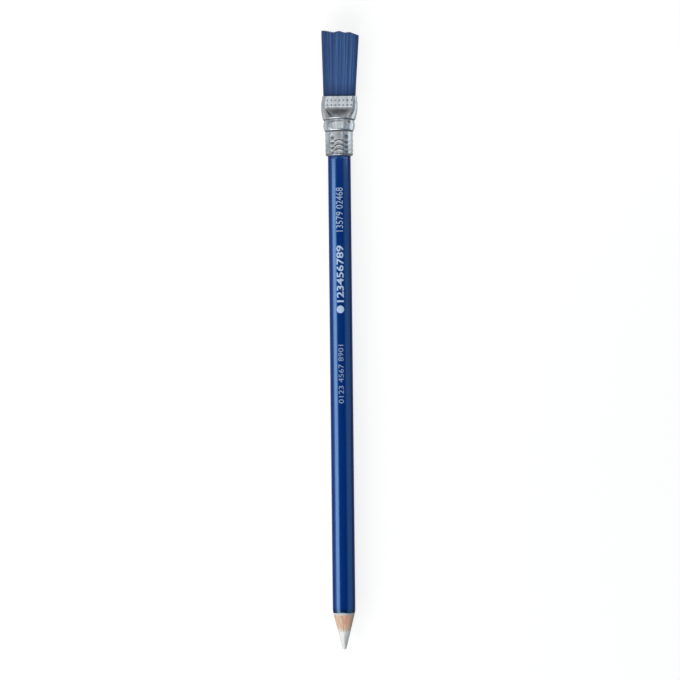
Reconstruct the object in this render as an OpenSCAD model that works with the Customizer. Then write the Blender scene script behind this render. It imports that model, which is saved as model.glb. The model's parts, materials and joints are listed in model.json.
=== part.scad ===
// Eraser pencil with a brush end. A round wooden barrel, glued from two slats round an eraser core
// and lacquered, is sharpened at one end. A crimped metal ferrule on the other end holds a flat brush.
// Each piece is modelled upright, point down, with its face towards -Y. The whole pencil is then laid
// on its back, point towards -Y, as it rests on a table. Lengths are in millimetres.

/* [Barrel] */
// Length of the barrel, from the point of the core to its end inside the ferrule
barrel_len = 175; // [120:1:200]
// Diameter over the lacquer
barrel_d = 7.5; // [7:0.1:8.2]
// Thickness of the coloured lacquer
lacquer_t = 0.16; // [0.06:0.01:0.25]
// Thickness of the pale primer under the lacquer
primer_t = 0.17; // [0.06:0.01:0.3]
// Depth to which the barrel's end is turned down below the primer, where the ferrule holds it
tenon_cut = 0.05; // [0.02:0.01:0.15]
// Thickness of the glue between the two slats
glue_t = 0.06; // [0.03:0.01:0.15]
// Turn of the slats' glued joint about the pencil's axis, in degrees
joint_turn = -7.5; // [-90:0.5:90]

/* [Point] */
// Diameter of the eraser core
core_d = 4.4; // [3:0.1:5.2]
// Full angle of the sharpened cone, in degrees
point_angle = 27.4; // [20:0.2:40]
// Radius of the worn, rounded tip of the core
tip_r = 0.78; // [0.3:0.01:1.2]

/* [Ferrule] */
// Thickness of the ferrule's sheet metal
wall_t = 0.28; // [0.2:0.01:0.36]
// Gap between the lacquered barrel's surface and the inside of the sleeve
sleeve_gap = 0.55; // [0.45:0.01:0.8]
// Clearance between the barrel and the sleeve's turned-in lip
lip_gap = 0.05; // [0.02:0.01:0.1]
// Length of the round sleeve that holds the barrel
sleeve_len = 8.1; // [7:0.1:12]
// Length of the collar above the sleeve
collar_len = 3.7; // [3:0.1:6]
// Length of the flattened head above the collar
head_len = 8; // [6.5:0.1:12]
// Depth to which the barrel enters the ferrule
seat_depth = 12.6; // [9:0.1:12.8]
// Number of crimped rings in the sleeve
ring_count = 3; // [1:1:3]
// Spacing of the crimped rings
ring_pitch = 1.5; // [1.2:0.05:1.7]
// Height of the lowest crimped ring above the sleeve's lower edge
ring_start = 2.05; // [1.4:0.05:2.4]
// Depth of a crimped ring
ring_depth = 0.16; // [0.06:0.01:0.24]
// Radius of the tool that rolls a crimped ring
ring_tool_r = 0.45; // [0.3:0.01:0.5]
// Swell of the collar's sides beyond the sleeve
collar_swell = 0.62; // [0.3:0.01:1]
// Sideways step of a rolled lip beyond the waist under it
lip_step = 0.42; // [0.2:0.01:0.5]
// Depth of the waist under a rolled lip, on the front and back faces
waist_depth = 0.25; // [0.1:0.01:0.28]
// Width of the head at its widest
head_w = 12; // [11:0.1:14]
// Draw-in of each side of the head at its mouth
mouth_draw = 0.3; // [0:0.05:0.5]
// Height of the head's mouth, across its flat faces
mouth_h = 4.1; // [3.4:0.1:5.4]
// Rise of the rolled lips from the sides to the middle of the faces
lip_bow = 0.4; // [0:0.05:0.6]
// Punched dots in each of the two rows across each face of the head
dot_count = 7; // [3:1:8]
// Spacing of the punched dots
dot_pitch = 1.32; // [0.9:0.02:1.4]
// Depth of the punched dots
dot_depth = 0.14; // [0.05:0.01:0.16]
// Sideways lean of the head and the brush, in degrees
head_lean = 1.3; // [-2:0.1:2]

/* [Brush] */
// Length of the bristles beyond the ferrule's mouth
bristle_len = 21.6; // [12:0.1:30]
// Gap between the bristles and the ferrule's mouth
tuft_gap = 0.07; // [0.04:0.01:0.2]
// Spread of the brush at its tips, on each side of its width
spread_w = 0.95; // [0:0.05:2.5]
// Spread of the brush at its tips, on each side of its thickness
spread_h = 0.3; // [0:0.05:1]
// Bristles across the width of the brush
tuft_columns = 40; // [34:1:44]
// Bristles through the thickness of the brush
tuft_rows = 10; // [9:1:11]
// Share of its cell that a bristle fills, side to side
strand_fill = 0.8; // [0.6:0.01:0.9]
// Fall of the trimmed tips from the left corner to the right corner
trim_fall = 1.6; // [0:0.1:3]
// Height of the waves in the trimmed tips
trim_wave = 0.45; // [0:0.01:1]
// Greatest difference in length between neighbouring bristles
trim_spread = 0.4; // [0:0.05:1]
// Length of bristle held inside the ferrule's mouth
root_depth = 3; // [2:0.1:4]
// Thickness of the slice of resin that the bristles are fused to
slice_t = 0.8; // [0.4:0.05:1.2]
// Gap between the barrel's end and the resin
end_gap = 0.4; // [0.2:0.05:0.8]

/* [Hidden] */
$fn = 96;

// A cut that should pass right through a face goes this far beyond it
cut_over = 1;
// Running clearance of the resin inside the ferrule
resin_gap = 0.02;

// Radii of the barrel's layers
barrel_r = barrel_d / 2;
primer_r = barrel_r - lacquer_t;
wood_r = primer_r - primer_t;
tenon_r = wood_r - tenon_cut;
core_r = core_d / 2;

// The sharpened cone. Its apex lies below the rounded tip, which stands at height 0.
half_angle = point_angle / 2;
apex_drop = tip_r * (1 / sin(half_angle) - 1);
tip_arc_steps = 10;
function cone_height(r) = r / tan(half_angle) - apex_drop;

// Heights along the pencil, from the point
sleeve_base = barrel_len - seat_depth;
sleeve_top = sleeve_base + sleeve_len;
collar_top = sleeve_top + collar_len;
mouth_top = collar_top + head_len;
tips_top = mouth_top + bristle_len;
root_top = mouth_top - root_depth;
slice_base = root_top - slice_t;
resin_base = barrel_len + end_gap;

// The sleeve, coaxial with the barrel
sleeve_in_r = barrel_r + sleeve_gap;
sleeve_r = sleeve_in_r + wall_t;
lip_r = sleeve_r - barrel_r - lip_gap;
ring_heights = [for (i = [0:ring_count - 1]) sleeve_base + ring_start + i * ring_pitch];

// The collar and the head are lofted through these stations, each [height, half width, half height,
// flatness, bow]. Flatness 0 is an ellipse, and 1 is a tube pressed flat.
loft_sides = 40;
tuck = 0.35;
tongue_r = sleeve_r - wall_t / 4;
waist_inset = 0.07;
waist_w = sleeve_r - waist_inset;
waist_h = sleeve_r - waist_depth;
lip_rise = 0.4;
lip_h = sleeve_r - 0.03;
collar_half_w = sleeve_r + collar_swell;
collar_half_h = sleeve_r - 0.13;
upper_waist_w = collar_half_w - 0.2;
upper_waist_h = collar_half_h - waist_depth;
head_half_w = head_w / 2;
mouth_half_w = head_half_w - mouth_draw;
flat_start = collar_top + 0.55 * head_len;
stations = [
  [sleeve_top - tuck, tongue_r, tongue_r, 0, 0],
  [sleeve_top + 0.05, waist_w, waist_h, 0, 0],
  [sleeve_top + 0.05 + lip_rise, waist_w + lip_step, lip_h, 0, lip_bow / 2],
  [sleeve_top + 0.6 * collar_len, collar_half_w, collar_half_h, 0, lip_bow],
  [collar_top, upper_waist_w, upper_waist_h, 0.05, lip_bow],
  [collar_top + lip_rise, upper_waist_w + lip_step, collar_half_h, 0.1, lip_bow],
  [flat_start, head_half_w, mouth_h / 2 + 0.15, 1, 0],
  [mouth_top - 0.3 * head_len, head_half_w, mouth_h / 2, 1, 0],
  [mouth_top, mouth_half_w, mouth_h / 2, 1, 0]
];
steps_between = [1, 3, 4, 4, 3, 8, 2, 3];

// Radius of a punched dot, and the heights of its two rows
dot_r = 0.3;
dot_heights = [mouth_top - 0.38 * head_len, mouth_top - 0.2 * head_len];

// Sideways shift of the leaning head at a height
function lean_at(height) = tan(head_lean) * max(0, height - sleeve_top);
// A smooth start and stop between 0 and 1
function ease(t) = (1 - cos(180 * t)) / 2;
function mix(a, b, t) = a + (b - a) * t;

// Every station of the loft, with the eased ones between them. The width changes soonest.
loft_stations = [
  for (k = [0:len(stations) - 2], i = [0:steps_between[k] - 1])
    let (t = i / steps_between[k], a = stations[k], b = stations[k + 1])
      [mix(a[0], b[0], t), mix(a[1], b[1], sin(90 * t)), for (c = [2:4]) mix(a[c], b[c], ease(t))],
  stations[len(stations) - 1]
];

// A point on the first quarter of a flat tube: half of the turn rounds its side, half follows its face
function flat_tube(w, h, turn) =
  turn < 45 ? [w - h + h * cos(2 * turn), h * sin(2 * turn)] : [(w - h) * (2 - turn / 45), h];

// One closed loop of points round a station, drawn in by inset
function loop_at(st, inset = 0) = [
  for (i = [0:loft_sides - 1])
    let (
      angle = 360 * i / loft_sides,
      c = cos(angle),
      s = sin(angle),
      w = st[1] - inset,
      h = st[2] - inset,
      flat = flat_tube(w, h, acos(abs(c)))
    )
      [
        mix(w * c, sign(c) * flat[0], st[3]) + lean_at(st[0]),
        mix(h * s, sign(s) * flat[1], st[3]),
        st[0] + st[4] * s * s
      ]
];

// The station at any height in the head, straight between its neighbours
function station_at(height, k = 0) =
  k >= len(loft_stations) - 2 || loft_stations[k + 1][0] >= height
    ? let (
        a = loft_stations[k],
        b = loft_stations[k + 1],
        t = (height - a[0]) / (b[0] - a[0])
      ) [height, for (c = [1:3]) mix(a[c], b[c], t), 0]
    : station_at(height, k + 1);

function joined(lists) = [for (list = lists) each list];

// Triangles between loop k and the loop above it, on loops of a given number of points
function band(k, above, sides) = [
  for (i = [0:sides - 1])
    let (j = (i + 1) % sides)
      each [[k * sides + i, above * sides + j, k * sides + j],
            [k * sides + i, above * sides + i, above * sides + j]]
];

// A closed skin over loops that run up the outside and down the inside
module ring_skin(loops) {
  sides = len(loops[0]);
  count = len(loops);
  polyhedron(
    points = joined(loops),
    faces = [for (k = [0:count - 1]) each band(k, (k + 1) % count, sides)]
  );
}

// A solid over loops stacked from the bottom up, its two ends closed by fans
module stacked_solid(loops) {
  sides = len(loops[0]);
  last = len(loops) - 1;
  base = (last + 1) * sides;
  polyhedron(
    points = concat(joined(loops), [mean_point(loops[0]), mean_point(loops[last])]),
    faces = concat(
      [for (k = [0:last - 1]) each band(k, k + 1, sides)],
      [for (i = [0:sides - 1]) [i, (i + 1) % sides, base]],
      [for (i = [0:sides - 1]) [last * sides + (i + 1) % sides, last * sides + i, base + 1]]
    )
  );
}

function mean_point(points) = [for (c = [0:2]) sum_of([for (p = points) p[c]]) / len(points)];
function sum_of(values) = [for (v = values) 1] * values;

module core_hole(r) {
  translate([0, 0, -apex_drop - cut_over])
    cylinder(r = r, h = barrel_len + apex_drop + 2 * cut_over);
}

// A sharpened coat that ends at the tenon's shoulder
module coat(inner_r, outer_r) {
  difference() {
    rotate_extrude()
      polygon([[0, -apex_drop], [outer_r, cone_height(outer_r)], [outer_r, sleeve_base], [0, sleeve_base]]);
    core_hole(inner_r);
  }
}

// The sharpened wood with its tenon, before it is parted into slats
module sharpened_wood() {
  difference() {
    rotate_extrude()
      polygon([
        [0, -apex_drop], [wood_r, cone_height(wood_r)], [wood_r, sleeve_base],
        [tenon_r, sleeve_base], [tenon_r, barrel_len], [0, barrel_len]
      ]);
    core_hole(core_r);
  }
}

// A block along the whole barrel, from one distance to another off the joint plane
module joint_block(from, to) {
  reach = barrel_r + cut_over;
  rotate([0, 0, joint_turn])
    translate([from, -reach, -apex_drop - cut_over])
      cube([to - from, 2 * reach, barrel_len + apex_drop + 2 * cut_over]);
}

module slat_left() {
  color("burlywood")
    intersection() {
      sharpened_wood();
      joint_block(-barrel_r - cut_over, -glue_t / 2);
    }
}

module slat_right() {
  color("tan")
    intersection() {
      sharpened_wood();
      joint_block(glue_t / 2, barrel_r + cut_over);
    }
}

// Two films, one on each side of the core
module slat_glue() {
  color("wheat")
    intersection() {
      sharpened_wood();
      joint_block(-glue_t / 2, glue_t / 2);
    }
}

module eraser_core() {
  color("gainsboro")
    rotate_extrude()
      polygon(concat(
        [for (i = [0:tip_arc_steps])
          let (a = (90 - half_angle) * i / tip_arc_steps)
            [tip_r * sin(a), tip_r * (1 - cos(a))]],
        [[core_r, cone_height(core_r)], [core_r, barrel_len], [0, barrel_len]]
      ));
}

module primer_coat() {
  color("whitesmoke") coat(wood_r, primer_r);
}

module lacquer_coat() {
  color([0.02, 0.19, 0.42]) coat(primer_r, barrel_r);
}

// The tool's round section at each crimped ring, in the plane of the sleeve's profile
module ring_tool(r) {
  for (height = ring_heights)
    translate([sleeve_r + ring_tool_r - ring_depth, height]) circle(r = r);
}

// The sleeve: a tube with a lip turned in to the barrel, and rings rolled into its wall
module sleeve() {
  rotate_extrude()
    difference() {
      union() {
        translate([sleeve_in_r, sleeve_base + lip_r])
          square([wall_t, sleeve_len - lip_r]);
        intersection() {
          ring_tool(ring_tool_r + wall_t);
          translate([barrel_r, sleeve_base]) square([sleeve_gap + wall_t / 2, sleeve_len]);
        }
        intersection() {
          translate([sleeve_r - lip_r, sleeve_base + lip_r])
            difference() {
              circle(r = lip_r);
              circle(r = lip_r - wall_t);
            }
          translate([sleeve_r - lip_r, sleeve_base]) square([lip_r, lip_r]);
        }
      }
      ring_tool(ring_tool_r);
    }
}

// Two rows of dots, punched into each face of the head with a round-ended tool
module punched_dots() {
  tool_r = (dot_r * dot_r + dot_depth * dot_depth) / (2 * dot_depth);
  for (height = dot_heights, i = [0:dot_count - 1], side = [-1, 1])
    translate([
      lean_at(height) + (i - (dot_count - 1) / 2) * dot_pitch,
      side * (station_at(height)[2] + tool_r - dot_depth),
      height
    ])
      sphere(r = tool_r, $fn = 24);
}

module ferrule() {
  color("silver") {
    sleeve();
    difference() {
      ring_skin(concat(
        [for (st = loft_stations) loop_at(st)],
        [for (k = [len(loft_stations) - 1:-1:0]) loop_at(loft_stations[k], k > 0 ? wall_t : wall_t / 2)]
      ));
      punched_dots();
    }
  }
}

// Hardened cement between the barrel's tenon and the sleeve, pressed in by the crimped rings
module ferrule_cement() {
  color("khaki")
    rotate_extrude()
      difference() {
        translate([tenon_r, sleeve_base + lip_r])
          square([sleeve_in_r - tenon_r, sleeve_len - lip_r - tuck]);
        ring_tool(ring_tool_r + wall_t);
      }
}

// The resin that fills the ferrule between the barrel's end and the bristles
module root_resin() {
  color("goldenrod")
    stacked_solid([
      for (i = [0:6])
        loop_at(station_at(mix(resin_base, slice_base, i / 6)), wall_t + resin_gap)
    ]);
}

// The brush is a grid of cells, one bristle in each. The grid narrows towards the corners, so that
// the tuft has the round-ended outline of the ferrule's mouth.
mouth_jitter = 0.14;
tips_jitter = 0.3;
tuft_half_w = mouth_half_w - wall_t - tuft_gap;
tuft_half_h = mouth_h / 2 - wall_t - tuft_gap;
corner_pull_h = 1 - sqrt(0.5);
corner_pull_w = corner_pull_h * tuft_half_h / tuft_half_w;
grid_count = (tuft_columns + 1) * (tuft_rows + 1);
cell_count = tuft_columns * tuft_rows;
root_jitters = rands(-1, 1, 2 * grid_count, 21);
tips_jitters = rands(-1, 1, 2 * grid_count, 34);
trims = rands(0, 1, cell_count, 55);

function grid_index(i, j) = i * (tuft_rows + 1) + j;
function on_edge(i, j) = i == 0 || j == 0 || i == tuft_columns || j == tuft_rows;

// A grid point at the mouth or at the tips, each moved a little within its share of a cell
function grid_point(i, j, half_w, half_h, jitters, amount) =
  let (
    k = 2 * grid_index(i, j),
    u = -1 + 2 * (i + amount * jitters[k]) / tuft_columns,
    v = -1 + 2 * (j + amount * jitters[k + 1]) / tuft_rows
  )
    [half_w * u * (1 - corner_pull_w * pow(v, 2)), half_h * v * (1 - corner_pull_h * pow(u, 4))];

at_mouth = [for (i = [0:tuft_columns], j = [0:tuft_rows])
  grid_point(i, j, tuft_half_w, tuft_half_h, root_jitters, on_edge(i, j) ? 0 : mouth_jitter)];
at_tips = [for (i = [0:tuft_columns], j = [0:tuft_rows])
  grid_point(i, j, tuft_half_w + spread_w, tuft_half_h + spread_h, tips_jitters, tips_jitter)];

// A grid point followed up or down its straight line to any height
function grid_at(k, height) =
  let (p = mix(at_mouth[k], at_tips[k], (height - mouth_top) / bristle_len))
    [p[0] + lean_at(height), p[1], height];

// The four grid points round a cell, in order
function cell_corners(i, j) =
  [grid_index(i, j), grid_index(i + 1, j), grid_index(i + 1, j + 1), grid_index(i, j + 1)];

// A bristle's four corners at a height: those of its cell, drawn in towards their middle
function strand_corners(i, j, height) =
  let (c = [for (k = cell_corners(i, j)) grid_at(k, height)], m = mean_point(c))
    [for (p = c) m + strand_fill * (p - m)];

// Height at which a bristle was trimmed: the tips fall slowly, and then fast at the right corner,
// and their waves follow closer on each other from left to right
function trim_at(i, j) =
  let (
    u = (i + 0.5) / tuft_columns,
    fall = trim_fall * mix(u, pow(u, 6), 0.7),
    wave = trim_wave * (1 - pow(u, 4)) * (1 - cos(1016 * pow(u, 1.36))) / 2
  )
    tips_top - fall - wave - trim_spread * trims[i * tuft_rows + j];

edge_loop = concat(
  [for (i = [0:tuft_columns - 1]) grid_index(i, 0)],
  [for (j = [0:tuft_rows - 1]) grid_index(tuft_columns, j)],
  [for (i = [tuft_columns:-1:1]) grid_index(i, tuft_rows)],
  [for (j = [tuft_rows:-1:1]) grid_index(0, j)]
);

// All bristles and the slice of resin at their roots, as one closed skin
module bristle_tuft() {
  edge_count = len(edge_loop);
  first_edge = grid_count;
  slice_centre = first_edge + edge_count;
  first_strand = slice_centre + 1;
  color([0.2, 0.33, 0.53])
    polyhedron(
      points = concat(
        [for (k = [0:grid_count - 1]) grid_at(k, root_top)],
        [for (k = edge_loop) [grid_at(k, root_top)[0], grid_at(k, root_top)[1], slice_base]],
        [[lean_at(root_top), 0, slice_base]],
        [for (i = [0:tuft_columns - 1], j = [0:tuft_rows - 1], end = [0, 1])
          each strand_corners(i, j, end == 0 ? root_top : trim_at(i, j))]
      ),
      faces = concat(
        [for (i = [0:tuft_columns - 1], j = [0:tuft_rows - 1])
          let (g = cell_corners(i, j), b = first_strand + 8 * (i * tuft_rows + j), t = b + 4)
            each concat(
              [for (k = [0:3]) let (n = (k + 1) % 4) each [[g[k], b + n, g[n]], [g[k], b + k, b + n]]],
              [for (k = [0:3]) let (n = (k + 1) % 4) each [[b + k, t + n, b + n], [b + k, t + k, t + n]]],
              [[t, t + 2, t + 1], [t, t + 3, t + 2]]
            )],
        [for (k = [0:edge_count - 1])
          let (n = (k + 1) % edge_count, e = first_edge)
            each [[edge_loop[k], edge_loop[n], e + n], [edge_loop[k], e + n, e + k],
                  [e + k, e + n, slice_centre]]]
      )
    );
}

// The pencil lies on the sleeve and on the lower edge of the lacquer, so it tilts a little.
rest_height = cone_height(barrel_r);
touch_height = sleeve_base + lip_r;
rest_tilt = atan((sleeve_r - barrel_r) / (touch_height - rest_height));
rest_lift = barrel_r * cos(rest_tilt) - rest_height * sin(rest_tilt);

module laid() {
  translate([0, -tips_top / 2 * cos(rest_tilt), rest_lift])
    rotate([rest_tilt - 90, 0, 0])
      children();
}

laid() slat_left();
laid() slat_right();
laid() slat_glue();
laid() eraser_core();
laid() primer_coat();
laid() lacquer_coat();
laid() ferrule();
laid() ferrule_cement();
laid() root_resin();
laid() bristle_tuft();
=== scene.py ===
"""Looks of a wood-cased eraser pencil with a flat brush in a crimped ferrule.

Every piece is modelled upright, point down, with its face towards -Y, and is then laid where the
solid model lies. Lengths are in metres.
"""

import json
import math
import random

import bpy
import numpy as np
from mathutils import Matrix, Vector, noise


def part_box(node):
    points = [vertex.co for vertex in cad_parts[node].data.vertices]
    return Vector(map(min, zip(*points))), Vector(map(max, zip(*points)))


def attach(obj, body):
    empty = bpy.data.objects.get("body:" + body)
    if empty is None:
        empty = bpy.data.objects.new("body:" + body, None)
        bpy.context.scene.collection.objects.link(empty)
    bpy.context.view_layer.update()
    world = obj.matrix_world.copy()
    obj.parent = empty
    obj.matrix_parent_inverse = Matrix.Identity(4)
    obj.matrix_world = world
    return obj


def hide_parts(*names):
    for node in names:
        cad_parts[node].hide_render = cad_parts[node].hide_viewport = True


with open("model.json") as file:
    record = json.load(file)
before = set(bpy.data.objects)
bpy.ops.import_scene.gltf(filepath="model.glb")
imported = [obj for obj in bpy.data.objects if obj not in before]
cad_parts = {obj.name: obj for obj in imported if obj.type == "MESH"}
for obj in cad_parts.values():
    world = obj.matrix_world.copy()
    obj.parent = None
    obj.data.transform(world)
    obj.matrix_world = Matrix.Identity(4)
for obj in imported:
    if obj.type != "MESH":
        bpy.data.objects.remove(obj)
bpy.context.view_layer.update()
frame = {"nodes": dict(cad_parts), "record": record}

MM = 0.001
GRIP = frame["record"]["mounts"][0]

# Barrel
BARREL_R = GRIP["dims"]["r_mm"] * MM
BARREL_LEN = 175 * MM
LACQUER_T = 0.16 * MM
PRIMER_T = 0.17 * MM
GLUE_T = 0.06 * MM
TENON_CUT = 0.05 * MM
CORE_R = 2.2 * MM
JOINT_TURN = math.radians(-7.5)
PRIMER_R = BARREL_R - LACQUER_T
WOOD_R = PRIMER_R - PRIMER_T

# Point
HALF_ANGLE = math.radians(13.7)
TIP_R = 0.78 * MM
APEX_DROP = TIP_R * (1 / math.sin(HALF_ANGLE) - 1)


def cone_height(radius):
    """Height of the sharpened cone's surface at a radius."""
    return radius / math.tan(HALF_ANGLE) - APEX_DROP


# Ferrule
WALL_T = 0.28 * MM
SLEEVE_GAP = 0.55 * MM
SLEEVE_R = BARREL_R + SLEEVE_GAP + WALL_T
SLEEVE_BASE = BARREL_LEN - 12.6 * MM
SLEEVE_TOP = SLEEVE_BASE + 8.1 * MM
COLLAR_TOP = SLEEVE_TOP + 3.7 * MM
MOUTH_TOP = COLLAR_TOP + 8 * MM
HEAD_LEAN = math.radians(1.3)

# Brush
BRISTLE_LEN = 21.6 * MM
TIPS_TOP = MOUTH_TOP + BRISTLE_LEN
ROOT_DEPTH = 3 * MM

# The pencil's own frame in the solid model's: Z runs from the point to the brush, -Y is its face
ALONG = -Vector(GRIP["axis"]).normalized()
GRIP_MIDDLE = Vector(GRIP["pos_m"])
POINT = GRIP_MIDDLE + ALONG * (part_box("eraser_core")[0].y - GRIP_MIDDLE.y) / ALONG.y
ACROSS = Vector((1, 0, 0))
LAID = Matrix.Translation(POINT) @ Matrix((ACROSS, ALONG.cross(ACROSS), ALONG)).transposed().to_4x4()


def mix(a, b, t):
    return a + (b - a) * t


def ease(t):
    """A smooth start and stop between 0 and 1."""
    return (1 - math.cos(math.pi * t)) / 2


def lean_at(height):
    """Sideways shift of the leaning head and brush at a height."""
    return math.tan(HEAD_LEAN) * max(0, height - SLEEVE_TOP)


# Camera

CAMERA_DISTANCE = 1000 * MM
PHOTO_PIXEL = 0.3292 * MM
PHOTO_SIDE = 680
# The middle of the picture, measured on the pencil: beside its axis and up from its point
VIEW_ASIDE = -0.40 * MM
VIEW_HEIGHT = 101.97 * MM
VIEW_ROLL = math.radians(-0.608)


def add_camera():
    """Looks straight down on the pencil, at the photo's scale and turn."""
    data = bpy.data.cameras.new("camera")
    data.sensor_width = 36
    data.lens = data.sensor_width * CAMERA_DISTANCE / (PHOTO_PIXEL * PHOTO_SIDE)
    data.clip_start = 0.01
    data.clip_end = 20
    camera = bpy.data.objects.new("camera", data)
    bpy.context.scene.collection.objects.link(camera)
    aim = LAID @ Vector((VIEW_ASIDE, 0, VIEW_HEIGHT))
    camera.location = aim + Vector((0, 0, CAMERA_DISTANCE))
    camera.rotation_euler = (0, 0, VIEW_ROLL)
    bpy.context.scene.camera = camera


add_camera()
bpy.context.scene.view_settings.view_transform = "Standard"


# Modelling helpers

def deselect_all():
    if bpy.context.mode != "OBJECT":
        bpy.ops.object.mode_set(mode="OBJECT")
    bpy.ops.object.select_all(action="DESELECT")


def only(piece):
    """Makes one object the selected and active one."""
    deselect_all()
    piece.select_set(True)
    bpy.context.view_layer.objects.active = piece


def turn_outward():
    """Turns the faces of the piece in edit mode outward."""
    bpy.ops.mesh.select_all(action="SELECT")
    bpy.ops.mesh.normals_make_consistent(inside=False)


def turned(name, profile, sides, closed=True):
    """Turns a profile of (radius, height) points: a ring is drawn out from point to point.

    A closed profile's last ring is joined to its first. A radius of 0 ends the skin in a pole.
    """
    deselect_all()
    radius, height = profile[0]
    bpy.ops.mesh.primitive_circle_add(vertices=sides, radius=radius, location=(0, 0, height))
    piece = bpy.context.object
    piece.name = piece.data.name = name
    bpy.ops.object.transform_apply(location=True, rotation=True, scale=True)
    bpy.ops.object.mode_set(mode="EDIT")
    bpy.ops.mesh.select_all(action="SELECT")
    for (r0, z0), (r1, z1) in zip(profile, profile[1:] + profile[:1] * closed):
        bpy.ops.mesh.extrude_edges_move(TRANSFORM_OT_translate={"value": (0, 0, z1 - z0)})
        share = r1 / r0
        bpy.ops.transform.resize(value=(share, share, 1), center_override=(0, 0, z1))
    bpy.ops.mesh.select_all(action="SELECT")
    bpy.ops.mesh.remove_doubles(threshold=1e-7)
    turn_outward()
    bpy.ops.object.mode_set(mode="OBJECT")
    return piece


def moved_points(piece, shape):
    """Moves every vertex of a piece to where shape puts it."""
    for vertex in piece.data.vertices:
        vertex.co = shape(vertex.co.copy())
    piece.data.update()


def store(mesh, name, strengths):
    """Stores a strength from 0 to 1 on every vertex under a name, for the material."""
    mesh.attributes.new(name, "FLOAT", "POINT").data.foreach_set("value", strengths)


def mark_points(piece, name, strength):
    """Stores the strength that a function gives each vertex, kept between 0 and 1."""
    store(piece.data, name, [min(1, max(0, strength(vertex.co))) for vertex in piece.data.vertices])


def close_ends(piece):
    """Fills a piece's open rings and turns its faces outward."""
    only(piece)
    bpy.ops.object.mode_set(mode="EDIT")
    bpy.ops.mesh.select_all(action="DESELECT")
    bpy.ops.mesh.select_non_manifold()
    bpy.ops.mesh.fill_holes(sides=0)
    turn_outward()
    bpy.ops.object.mode_set(mode="OBJECT")


def smooth(piece, angle=30):
    only(piece)
    bpy.ops.object.shade_smooth_by_angle(angle=math.radians(angle))


def finished(piece, material, slot, *nodes):
    """Lays a piece where the solid model lies, gives it its material, hangs it under the root body and
    hides the solid model's meshes of the nodes given.
    """
    piece.data.transform(LAID)
    piece.data.materials.clear()
    piece.data.materials.append(material)
    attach(piece, "root")
    if nodes:
        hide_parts(*nodes)


# Material helpers

# Places of the colour sockets of a Mix node, whose names its other sockets share
MIX_A, MIX_B, MIX_RESULT = 6, 7, 2


def new_material(name):
    material = bpy.data.materials.new(name)
    material.use_nodes = True
    tree = material.node_tree
    return material, tree, tree.nodes["Principled BSDF"]


def add_node(tree, kind, **settings):
    made = tree.nodes.new(kind)
    for key, value in settings.items():
        if key in made.inputs:
            made.inputs[key].default_value = value
        else:
            setattr(made, key, value)
    return made


def set_inputs(shader, values):
    for name, value in values.items():
        shader.inputs[name].default_value = value


def stored(tree, name):
    """The strength stored on the vertices under a name."""
    return add_node(tree, "ShaderNodeAttribute", attribute_name=name).outputs["Fac"]


def object_coordinates(tree, scale):
    """Object coordinates, scaled to features per metre."""
    coordinates = add_node(tree, "ShaderNodeTexCoord")
    mapping = add_node(tree, "ShaderNodeMapping", Scale=scale)
    tree.links.new(coordinates.outputs["Object"], mapping.inputs["Vector"])
    return mapping.outputs["Vector"]


def noise_at(tree, vector, detail=4, roughness=0.5, distortion=0):
    made = add_node(tree, "ShaderNodeTexNoise", Scale=1, Detail=detail, Roughness=roughness,
                    Distortion=distortion)
    tree.links.new(vector, made.inputs["Vector"])
    return made.outputs["Fac"]


def ramp(tree, value, *stops):
    """A colour ramp through (position, colour) stops."""
    made = add_node(tree, "ShaderNodeValToRGB")
    band = made.color_ramp
    while len(band.elements) < len(stops):
        band.elements.new(0.5)
    for element, (position, color) in zip(band.elements, stops):
        element.position = position
        element.color = (*color, 1)
    tree.links.new(value, made.inputs["Fac"])
    return made.outputs["Color"]


def gray(level):
    return (level, level, level)


def multiplied(tree, color, shade, share=1.0):
    made = add_node(tree, "ShaderNodeMix", data_type="RGBA", blend_type="MULTIPLY")
    made.inputs["Factor"].default_value = share
    tree.links.new(color, made.inputs[MIX_A])
    tree.links.new(shade, made.inputs[MIX_B])
    return made.outputs[MIX_RESULT]


def spread(tree, value, low, high):
    """Maps a 0 to 1 value to a range."""
    made = add_node(tree, "ShaderNodeMapRange")
    made.inputs["To Min"].default_value = low
    made.inputs["To Max"].default_value = high
    tree.links.new(value, made.inputs["Value"])
    return made.outputs["Result"]


def bump(tree, shader, height, distance, strength=1.0):
    made = add_node(tree, "ShaderNodeBump", Strength=strength, Distance=distance)
    tree.links.new(height, made.inputs["Height"])
    tree.links.new(made.outputs["Normal"], shader.inputs["Normal"])


# Materials

def lacquer_material():
    """Deep blue enamel, with painted shade darkening it near its cut edge.

    Its pearly gloss shows where it is seen a little aslant, and fades square on and at the sides.
    """
    material, tree, shader = new_material("blue_gloss_lacquer")
    mottle = noise_at(tree, object_coordinates(tree, (700, 120, 700)), detail=3)
    color = ramp(tree, mottle, (0.3, (0.001, 0.029, 0.185)), (0.7, (0.001, 0.034, 0.215)))
    # Painted shade: the blue is darkened towards the cut edge, where the rim rounds away from the light
    rim_painted_shade = ramp(tree, stored(tree, "near_cut"), (0.1, gray(1)), (0.9, (1, 0.5, 0.3)))
    tree.links.new(multiplied(tree, color, rim_painted_shade), shader.inputs["Base Color"])
    set_inputs(shader, {"Roughness": 0.2, "IOR": 2.2, "Specular Tint": (0.32, 0.6, 1, 1)})
    slant = add_node(tree, "ShaderNodeLayerWeight", Blend=0.5)
    gloss = ramp(tree, slant.outputs["Facing"], (0.03, gray(0.12)), (0.1, gray(1)), (0.22, gray(1)),
                 (0.38, gray(0.02)))
    tree.links.new(gloss, shader.inputs["Specular IOR Level"])
    peel = noise_at(tree, object_coordinates(tree, (900, 500, 900)), detail=2)
    bump(tree, shader, peel, 0.012 * MM, 0.5)
    return material


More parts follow.
